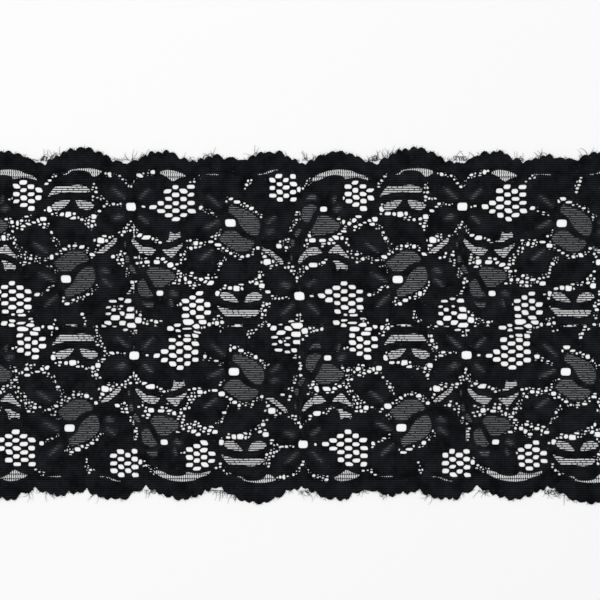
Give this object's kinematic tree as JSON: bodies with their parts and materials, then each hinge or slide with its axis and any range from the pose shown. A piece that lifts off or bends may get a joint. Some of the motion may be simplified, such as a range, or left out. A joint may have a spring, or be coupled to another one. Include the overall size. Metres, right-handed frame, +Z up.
{
  "type": "lace trim",
  "caption": "Flat length of black floral stretch-type galloon lace trim with scalloped, looped edges on both long sides.",
  "frame": {"origin": "middle of the underside of the band, where it rests on a surface", "axes": "+X along the band, +Y across the band to the upper scalloped edge, +Z up through the thickness"},
  "size_m": [0.2656, 0.1459, 0.0008],
  "materials": {
    "net_yarn": "matte",
    "clothwork_yarn": "matte",
    "edging_yarn": "matte",
    "loop_yarn": "matte"
  },
  "bodies": {
    "root": {"bell_flower_1": "clothwork_yarn", "bell_flower_2": "clothwork_yarn", "bell_flower_3": "clothwork_yarn", "bell_flower_4": "clothwork_yarn", "bell_flower_5": "clothwork_yarn", "bell_flower_6": "clothwork_yarn", "bell_flower_7": "clothwork_yarn", "bell_flower_8": "clothwork_yarn", "four_petal_flower_1": "clothwork_yarn", "four_petal_flower_10": "clothwork_yarn", "four_petal_flower_2": "clothwork_yarn", "four_petal_flower_3": "clothwork_yarn", "four_petal_flower_4": "clothwork_yarn", "four_petal_flower_5": "clothwork_yarn", "four_petal_flower_6": "clothwork_yarn", "four_petal_flower_7": "clothwork_yarn", "four_petal_flower_8": "clothwork_yarn", "four_petal_flower_9": "clothwork_yarn", "ground_net": "net_yarn", "leaf_spray_1": "clothwork_yarn", "leaf_spray_10": "clothwork_yarn", "leaf_spray_2": "clothwork_yarn", "leaf_spray_3": "clothwork_yarn", "leaf_spray_4": "clothwork_yarn", "leaf_spray_5": "clothwork_yarn", "leaf_spray_6": "clothwork_yarn", "leaf_spray_7": "clothwork_yarn", "leaf_spray_8": "clothwork_yarn", "leaf_spray_9": "clothwork_yarn", "lower_edge_loops": "loop_yarn", "lower_scallop_edging": "edging_yarn", "rose_1": "clothwork_yarn", "rose_2": "clothwork_yarn", "rose_3": "clothwork_yarn", "rose_4": "clothwork_yarn", "rose_5": "clothwork_yarn", "rose_6": "clothwork_yarn", "rose_7": "clothwork_yarn", "rose_8": "clothwork_yarn", "shell_bud_1": "clothwork_yarn", "shell_bud_2": "clothwork_yarn", "shell_bud_3": "clothwork_yarn", "shell_bud_4": "clothwork_yarn", "shell_bud_5": "clothwork_yarn", "shell_bud_6": "clothwork_yarn", "shell_bud_7": "clothwork_yarn", "shell_bud_8": "clothwork_yarn", "upper_edge_loops": "loop_yarn", "upper_scallop_edging": "edging_yarn"}
  },
  "joints": []
}
